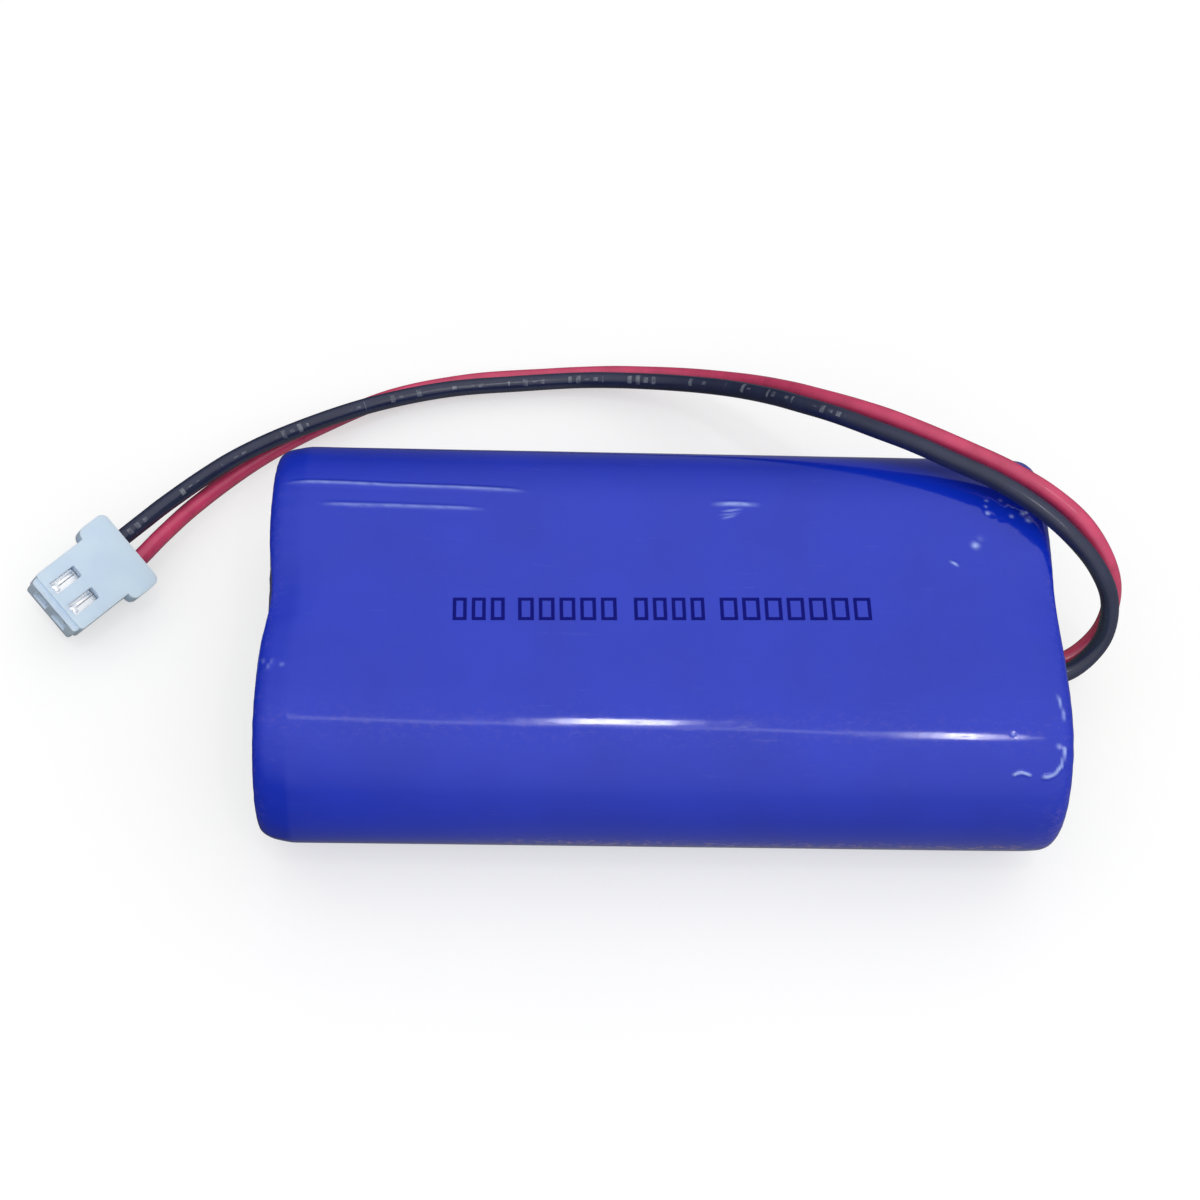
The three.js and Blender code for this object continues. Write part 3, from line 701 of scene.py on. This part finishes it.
def film_scuffs_and_glints(x, girth):
    """How scuffed the film is, with painted glints in some lines: along its sides, at its right-hand
    corners and on its end bends.
    """
    worn = [
        strength * np.exp(-(((girth - middle) / spread) ** 2)) * smooth_step(x, start, full)
        for middle, spread, strength, start, full in SCUFF_AND_GLINT_LINES
    ]
    ends = smooth_step(np.abs(x), RUBBED_ENDS["start"], RUBBED_ENDS["full"])
    return np.maximum.reduce([*worn, ends * RUBBED_ENDS["strength"]])


def sleeve_stations():
    """The sleeve's outer profile from one lip to the other: x, radius, and outward direction."""
    radius, edge = SLEEVE["radius"], SLEEVE["edge"]
    inner = HALF_LENGTH - edge
    lip_radii = np.linspace(SLEEVE["lip"], radius - edge, LIP_STEPS, endpoint=False)
    end = [(HALF_LENGTH, lip_radius, 1, 0) for lip_radius in lip_radii]
    for angle in np.linspace(0, math.pi / 2, BEND_STEPS, endpoint=False):
        across, out = math.cos(angle), math.sin(angle)
        end.append((inner + edge * across, radius - edge + edge * out, across, out))
    straight = [(x, radius, 0, 1) for x in spaced(-inner, inner, **ALONG_GRID)]
    return np.array([(-x, r, -across, out) for x, r, across, out in end] + straight + end[::-1])


def end_noise(x, girth, kind):
    """Noise that changes round the girth and is different at the two ends."""
    return noise_field(np.sign(x) * kind["apart"], girth, kind["size"], kind["seed"])


def film_skins():
    """x and girth of each point of the film, and its outer and inner skins as grids of places."""
    stations = sleeve_stations()
    girths = spaced(-GIRTH / 2, GIRTH / 2, **ROUND_GRID)[:-1]
    x, girth = np.meshgrid(stations[:, 0], girths, indexing="ij")
    radius, across, out = (np.broadcast_to(stations[:, i, None], x.shape) for i in (1, 2, 3))
    flat_radius = SLEEVE["radius"] - SLEEVE["edge"]
    lip_share = np.clip((flat_radius - radius) / (flat_radius - SLEEVE["lip"]), 0, 1)

    from_middle = np.where(np.abs(girth) < GIRTH / 4, np.abs(girth), GIRTH / 2 - np.abs(girth))
    waist = np.exp(-((from_middle / WAIST["spread"]) ** 2))
    ragged = RAGGED["depth"] * end_noise(x, girth, RAGGED)
    radius = radius - lip_share * (ragged + WAIST["lip"] * waist)
    pleated = PLEATS["depth"] * (lip_share + PLEATS["on_bend"] * across**2)
    pleating = pleated * end_noise(x, girth, PLEATS) - PLEATS["sunk"] * lip_share
    drawn_in = np.where(x < 0, WAIST["left"], WAIST["right"]) * waist
    drawn_in *= smooth_step(np.abs(x), WAIST["start"], HALF_LENGTH)
    drawn_in *= 1 - WAIST["lip_stays"] * lip_share

    relief = film_relief(x, girth)
    skins = []
    for depth in (0, SLEEVE["wall"]):
        place, normal = around_section(girth, radius)
        place = place + ((relief + pleating - depth) * out)[..., None] * normal
        along = x + (pleating - depth) * across - np.sign(x) * drawn_in
        skins.append(np.concatenate([along[..., None], place], axis=-1))
    return x, girth, skins


def build_sleeve():
    """The film as one closed skin: its outside, and its inside in the opposite order."""
    x, girth, (outside, inside) = film_skins()
    rows = np.concatenate([outside, inside[::-1]])
    faces = [face[::-1] for face in grid_faces(rows.shape[0], rows.shape[1], True, True)]
    blue_film = film("blue_film", colour(14, 46, 190))
    piece = new_piece("film_sleeve", rows.reshape(-1, 3), faces, blue_film)
    # The scuffs with painted glints, and the painted highlights on the creases and dents.
    for name, values in (("scuff_glint", film_scuffs_and_glints(x, girth)), ("crease", painted_crease_highlights(x, girth))):
        add_attribute(piece, name, np.concatenate([values, values[::-1]]))
    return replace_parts(piece, "outer_sleeve")


build_sleeve()

# ---- End papers ----------------------------------------------------

PAPER = {
    "radius": 8.2, "thickness": 0.2, "waist": 2.6, "spread": 4.2, "left": -33.75, "right": 33.5,
}
SLOT = {"y": -1.45, "z": 8.15, "half_width": 2.3, "half_height": 1.5, "corner": 1.1}


def paper_outline(count=160):
    """The paper's (y, z) outline, pinched in between the two cells."""
    girths = np.linspace(-GIRTH / 2, GIRTH / 2, count, endpoint=False)
    place, _ = around_section(girths, PAPER["radius"])
    inset = PAPER["waist"] * np.exp(-((place[:, 0] / PAPER["spread"]) ** 2))
    place[:, 1] -= np.sign(place[:, 1] - SLEEVE["radius"]) * inset
    return place


def slot_outline():
    """The lead slot's (y, z) outline."""
    half_width, half_height = SLOT["half_width"], SLOT["half_height"]
    return rectangle(
        SLOT["y"] - half_width, SLOT["y"] + half_width,
        SLOT["z"] - half_height, SLOT["z"] + half_height, SLOT["corner"],
    )


def filled(name, outlines, low_x, thickness, material):
    """A flat sheet across X with holes, from outlines of (y, z) points in millimetres."""
    curve = bpy.data.curves.new(name, "CURVE")
    curve.dimensions = "2D"
    curve.fill_mode = "BOTH"
    curve.extrude = thickness / 2 * MM
    for outline in outlines:
        spline = curve.splines.new("POLY")
        spline.points.add(len(outline) - 1)
        for point, (y, z) in zip(spline.points, outline):
            point.co = (y * MM, z * MM, 0, 1)
        spline.use_cyclic_u = True
    maker = linked(name + "_outline", curve)
    mesh = bpy.data.meshes.new_from_object(maker)
    bpy.data.objects.remove(maker)
    middle = (low_x + thickness / 2) * MM
    mesh.transform(Matrix(((0, 0, 1, middle), (1, 0, 0, 0), (0, 1, 0, 0), (0, 0, 0, 1))))
    return finished(name, mesh, material)


FISH_PAPER = fibrous("fish_paper", colour(176, 190, 150))
left_paper = filled(
    "left_end_paper", [paper_outline()], PAPER["left"], PAPER["thickness"], FISH_PAPER,
)
right_paper = filled(
    "right_end_paper", [paper_outline(), slot_outline()], PAPER["right"], PAPER["thickness"],
    FISH_PAPER,
)
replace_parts(left_paper, "end_paper_left")
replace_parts(right_paper, "end_paper_right")

# ---- Plug ----------------------------------------------------------

# The plug's own frame: X from its rear to its mating face, Y across the two ways, Z to its top.
PLUG = {
    "length": 9.15, "width": 6.4, "thickness": 4.2, "pitch": 2.5, "way_z": -0.15,
    "ear_width": 8.1, "ear_length": 3.1, "flange": 0.8, "nose": 0.6,
    "rear": (-48.85, 11.7, 4.55), "yaw": 227.2, "pitch_angle": -1.9, "roll": -28.2,
}

# The housing's rounded corners, stepped nose and ears, and its two ribs below.
HOUSING = {
    "corner": 0.35, "nose_root": 1, "nose_inset": 0.25, "nose_drop": 0.35,
    "ear_corner": 0.7, "ear_bottom": -0.4, "bevel": 0.14,
}
RIB = {"x": (2.9, 8.2), "y": 2.4, "width": (-0.3, 0.3), "height": (-0.4, 0.1), "corner": 0.2}

# The hollows of each way: (low, high) x, half width, (low, high) z from the way's middle, and corner.
HOLLOWS = {
    "wire_entry": ((-0.5, 1.6), 1.05, (-1.1, 1.1), 0.25),
    "room": ((1, 8.2), 0.95, (-1.1, 1.1), 0),
    "pin_hole": ((7.7, 9.5), 0.55, (-0.55, 0.55), 0),
    "funnel": ((8.9, 9.7), 0.9, (-1, 1.55), 0.4),
    "window": ((5.3, 8.1), 0.6, (0.15, 2.75), 0.1),
}

# A terminal's (low, high) x, y and z from its way's middle, and corner, and what changes its box.
TERMINAL_BOX = ((3.2, 8.0), (-0.65, 0.65), (-0.8, 0.8), 0.15)
TERMINAL_CHANGES = {
    "inside": ((3.4, 8.5), (-0.48, 0.48), (-0.63, 0.63), 0, "DIFFERENCE"),
    "seam": ((3.3, 8.1), (-0.03, 0.03), (0.5, 0.9), 0, "DIFFERENCE"),
    "lance": ((5.5, 7.1), (-0.35, -0.05), (0.45, 0.93), 0.1, "UNION"),
    "front_bar": ((7.3, 7.7), (-0.4, 0.4), (0.6, 0.9), 0.1, "UNION"),
    "crimp_floor": ((2.0, 3.4), (-0.5, 0.5), (-0.5, 0.15), 0.1, "UNION"),
    "left_wing": ((2.0, 2.9), (-0.5, -0.32), (-0.5, 0.6), 0.05, "UNION"),
    "right_wing": ((2.0, 2.9), (0.32, 0.5), (-0.5, 0.6), 0.05, "UNION"),
}
TERMINAL_BEVEL = 0.04

# Edges that turn by more than this many degrees are softened, in this many steps.
SHARP_ANGLE, SOFT_STEPS = 40, 3


def plug_matrix():
    """Where the plug lies."""
    turn = (
        Matrix.Rotation(math.radians(PLUG["yaw"]), 4, "Z")
        @ Matrix.Rotation(math.radians(PLUG["pitch_angle"]), 4, "Y")
        @ Matrix.Rotation(math.radians(PLUG["roll"]), 4, "X")
    )
    return Matrix.Translation(Vector(PLUG["rear"]) * MM) @ turn


def prism(outline, low, high):
    """A closed block of an (x, y) outline from height low to high."""
    shape = bmesh.new()
    floor_points = [shape.verts.new((x * MM, y * MM, low * MM)) for x, y in outline]
    roof_points = [shape.verts.new((x * MM, y * MM, high * MM)) for x, y in outline]
    shape.faces.new(floor_points[::-1])
    shape.faces.new(roof_points)
    for number in range(len(outline)):
        after = (number + 1) % len(outline)
        shape.faces.new((
            floor_points[number], floor_points[after], roof_points[after], roof_points[number],
        ))
    mesh = bpy.data.meshes.new("prism")
    shape.to_mesh(mesh)
    shape.free()
    return mesh


def block(x, y, z, corner=0.0):
    """A closed block between three (low, high) pairs, with rounded upright edges."""
    return prism(rectangle(*x, *y, corner), *z)


def around(middle, span):
    """A (low, high) pair, moved to lie about a middle."""
    return middle + span[0], middle + span[1]


def combined(name, base, others, material, bevel):
    """base joined with or cut by each (mesh, operation), its edges softened, where the plug lies."""
    piece = linked(name, base)
    helpers = []
    for mesh, operation in others:
        helpers.append(linked(name + "_helper", mesh))
        change = piece.modifiers.new("change", "BOOLEAN")
        change.object, change.operation, change.solver = helpers[-1], operation, "EXACT"
    soften = piece.modifiers.new("soften", "BEVEL")
    soften.width, soften.segments = bevel * MM, SOFT_STEPS
    soften.limit_method, soften.angle_limit = "ANGLE", math.radians(SHARP_ANGLE)
    soften.use_clamp_overlap = True
    soften.harden_normals = False
    changed = piece.evaluated_get(bpy.context.evaluated_depsgraph_get())
    mesh = bpy.data.meshes.new_from_object(changed)
    if not mesh.polygons:
        raise ValueError(name + " came out empty")
    for helper in [*helpers, piece]:
        bpy.data.objects.remove(helper)
    mesh.transform(plug_matrix())
    mesh.shade_smooth()
    piece = finished(name, mesh, material)
    weigh = piece.modifiers.new("flat faces stay flat", "WEIGHTED_NORMAL")
    weigh.mode, weigh.weight = "FACE_AREA", 100
    return piece


def build_housing():
    """The nylon housing: body, stepped nose, ears, rear flange, two ribs below, and its two ways."""
    side, top, ear = PLUG["width"] / 2, PLUG["thickness"] / 2, PLUG["ear_width"] / 2
    shoulder, rear = PLUG["length"] - PLUG["nose"], (0, PLUG["ear_length"])
    inset = HOUSING["nose_inset"]
    base = block((0, shoulder), (-side, side), (-top, top), HOUSING["corner"])
    nose = block(
        (shoulder - HOUSING["nose_root"], PLUG["length"]), (inset - side, side - inset),
        (inset - top, top - HOUSING["nose_drop"]), HOUSING["corner"],
    )
    ears = block(rear, (-ear, ear), (HOUSING["ear_bottom"], top), HOUSING["ear_corner"])
    flange = block(rear, (-side, side), (-top - PLUG["flange"], 0), HOUSING["corner"])
    changes = [(nose, "UNION"), (ears, "UNION"), (flange, "UNION")]
    for hand in (-1, 1):
        across, height = around(hand * RIB["y"], RIB["width"]), around(-top, RIB["height"])
        changes.append((block(RIB["x"], across, height, RIB["corner"]), "UNION"))
    for hand in (-1, 1):
        for x, half_width, z, corner in HOLLOWS.values():
            way = around(hand * PLUG["pitch"] / 2, (-half_width, half_width))
            changes.append((block(x, way, around(PLUG["way_z"], z), corner), "DIFFERENCE"))
    nylon = moulded(
        "plug_nylon", colour(207, 228, 255), roughness=0.38, spread=0.03,
        grain=3.0, relief=0.01, milky=0.5,
    )
    piece = combined("plug_shell", base, changes, nylon, HOUSING["bevel"])
    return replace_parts(piece, "plug_housing")


def build_terminal(name, hand, tin):
    """A folded sheet contact: a box open to the front with a lance, and crimped wings behind."""
    middle = hand * PLUG["pitch"] / 2

    def placed(x, y, z, corner):
        return block(x, around(middle, y), around(PLUG["way_z"], z), corner)

    changes = [(placed(*shape), operation) for *shape, operation in TERMINAL_CHANGES.values()]
    return combined(name, placed(*TERMINAL_BOX), changes, tin, TERMINAL_BEVEL)


TIN = brushed("tinned_bronze", colour(232, 235, 240), 0.28)
shell = build_housing()
black_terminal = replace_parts(build_terminal("black_contact", -1, TIN), "plug_terminal_black")
red_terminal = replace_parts(build_terminal("red_contact", 1, TIN), "plug_terminal_red")


# ---- Inner pieces, shown as they are in the CAD --------------------

# The material of every node whose name contains the key. After a colour, moulded() takes roughness,
# spread, grain and relief, and brushed() takes roughness, stretch and relief.
INNER = {
    "_can": brushed("drawn_steel", colour(190, 193, 198)),
    "_wrap": moulded("cell_wrap", colour(74, 154, 92), 0.3, 0.08, 1.5, 0.02),
    "_gasket": moulded("gasket_nylon", colour(228, 231, 234), 0.5, 0.05),
    "_vent_disc": brushed("vent_aluminium", colour(206, 209, 212), 0.35),
    "_top_cap": brushed("cap_nickel", colour(204, 201, 192), 0.25),
    "_top_ring": fibrous("cell_paper", colour(226, 226, 216)),
    "_insulator": moulded("insulator_film", colour(222, 226, 230), 0.5, 0.05),
    "_winding": fibrous("winding_edge", colour(48, 50, 54)),
    "_pin": brushed("pin_steel", colour(176, 180, 186)),
    "_anode_tab": brushed("anode_nickel", colour(196, 194, 186)),
    "_cathode_tab": brushed("cathode_aluminium", colour(208, 210, 214), 0.35),
    "glue_bead": moulded("melted_glue", colour(233, 223, 192), 0.3, 0.1, 0.8, 0.05),
    "series_link": brushed("link_nickel", colour(200, 198, 188), 0.28),
    "positive_tab": brushed("tab_nickel", colour(202, 200, 190), 0.28),
    "negative_tab": brushed("tab_nickel_2", colour(198, 196, 188), 0.28),
    "sense_wire": moulded("sense_insulation", colour(216, 194, 58), 0.4, 0.08),
    "protection_board": moulded("solder_mask", colour(23, 96, 58), 0.35, 0.15, 3.0, 0.01),
    "board_paper": fibrous("board_paper", colour(206, 196, 150)),
    "mosfet": moulded("chip_epoxy", colour(30, 30, 33), 0.5, 0.15, 6.0, 0.01),
    "controller": moulded("controller_epoxy", colour(34, 34, 36), 0.5, 0.15, 6.0, 0.01),
    "resistor": moulded("resistor_glaze", colour(40, 40, 46), 0.35, 0.15, 6.0, 0.01),
    "capacitor": moulded("capacitor_ceramic", colour(167, 133, 96), 0.5, 0.12, 6.0, 0.01),
    "solder": brushed("solder", colour(206, 209, 214), 0.2, (2, 2, 2), 0.02),
}


def dress_inner_nodes():
    """Gives each CAD node that still shows its material."""
    for name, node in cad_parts.items():
        if node.hide_render:
            continue
        finish = next((INNER[part] for part in INNER if part in name), None)
        if finish is None:
            raise ValueError("no material for " + name)
        for place in node.material_slots:
            place.link = "OBJECT"
            place.material = finish


dress_inner_nodes()

# ---- Floor and lights ----------------------------------------------

FLOOR = {
    "side": 4000, "below": 0.02, "cloud": 0.02, "darkest": 0.49, "palest": 0.51,
    "roughness": 0.9, "glow": 0.53,
}

# Each lamp's name, direction from the pack, width, length, turn in degrees, and watts.
LIGHTS = (
    ("main_lamp", (0.04, -0.18, 0.98), 46, 65, 0, 0.25),
    ("second_lamp", (0.244, -0.34, 0.91), 15, 60, 0, 0.14),
    ("long_lamp", (0.07, -0.26, 0.94), 420, 36, -22, 0.07),
)
LAMP_DISTANCE = 700
LAMP_TARGET = (0, 0, 15)


def add_floor():
    """A pale card that glows, so that shadows on it stay pale."""
    half = FLOOR["side"] / 2 * MM
    mesh = bpy.data.meshes.new("floor")
    corners = [(-half, -half, 0), (half, -half, 0), (half, half, 0), (-half, half, 0)]
    mesh.from_pydata(corners, [], [(0, 1, 2, 3)])
    graph = Graph("floor_card")
    darkest, palest = grey(FLOOR["darkest"]), grey(FLOOR["palest"])
    graph.set(
        Base_Color=graph.mix(graph.cloud(FLOOR["cloud"]), darkest, palest),
        Roughness=FLOOR["roughness"],
        Emission_Color=(1, 1, 1, 1),
        Emission_Strength=FLOOR["glow"],
    )
    mesh.materials.append(graph.data)
    floor = linked("floor", mesh)
    floor.location.z = -FLOOR["below"] * MM
    floor.visible_diffuse = False
    floor.visible_glossy = False


def add_lamps():
    """Area lamps that face the pack, each with its width level and then turned."""
    middle = Vector(LAMP_TARGET) * MM
    for name, direction, width, length, turn, power in LIGHTS:
        lamp = bpy.data.lights.new(name, "AREA")
        lamp.shape = "RECTANGLE"
        lamp.size, lamp.size_y, lamp.energy = width * MM, length * MM, power
        away = Vector(direction).normalized()
        across = (Vector((1, 0, 0)) - away * away.x).normalized()
        facing = Matrix((across, away.cross(across), away)).transposed().to_4x4()
        place = Matrix.Translation(middle + away * LAMP_DISTANCE * MM)
        holder = linked(name, lamp)
        holder.matrix_world = place @ facing @ Matrix.Rotation(math.radians(turn), 4, "Z")


# The sky's brightness from straight down to straight up, by height on a ball.
SKY = ((-1.0, 0.24), (-0.5, 0.3), (0.0, 0.42), (0.4, 0.8), (0.87, 1.14))

# How much brighter the low part of the sky is in front, and how much darker on the left.
SKY_FRONT = 0.55
SKY_LEFT = {"from_x": 0.0, "to_x": -0.2, "loss": 0.7}


def add_sky():
    """Soft light from all round: strong from above, weaker low down, behind and on the left."""
    sky = Graph("studio", "worlds", "Background")
    way = sky.add("TexCoord").outputs["Generated"]
    way_x, way_y, height = sky.add("SeparateXYZ", Vector=way).outputs

    ramp = sky.add("ValToRGB", Fac=sky.math("DIVIDE", sky.math("ADD", height, 1), 2))
    stops = ramp.color_ramp.elements
    while len(stops) < len(SKY):
        stops.new(0.5)
    for stop, (level, brightness) in zip(stops, SKY):
        stop.position = (level + 1) / 2
        stop.color = grey(brightness)

    low = sky.math("SUBTRACT", 1, height, clamp=True)
    in_front = sky.math("ADD", sky.times(sky.times(way_y, -SKY_FRONT), low), 1)
    leftward = sky.math("SUBTRACT", SKY_LEFT["from_x"], way_x)
    on_left = sky.math("DIVIDE", leftward, SKY_LEFT["from_x"] - SKY_LEFT["to_x"], clamp=True)
    lost = sky.times(sky.times(on_left, SKY_LEFT["loss"]), low)
    strength = sky.times(in_front, sky.math("SUBTRACT", 1, lost))
    sky.set(Color=ramp.outputs["Color"], Strength=strength)
    bpy.context.scene.world = sky.data


add_floor()
add_lamps()
add_sky()
bpy.context.scene.view_settings.view_transform = "Standard"
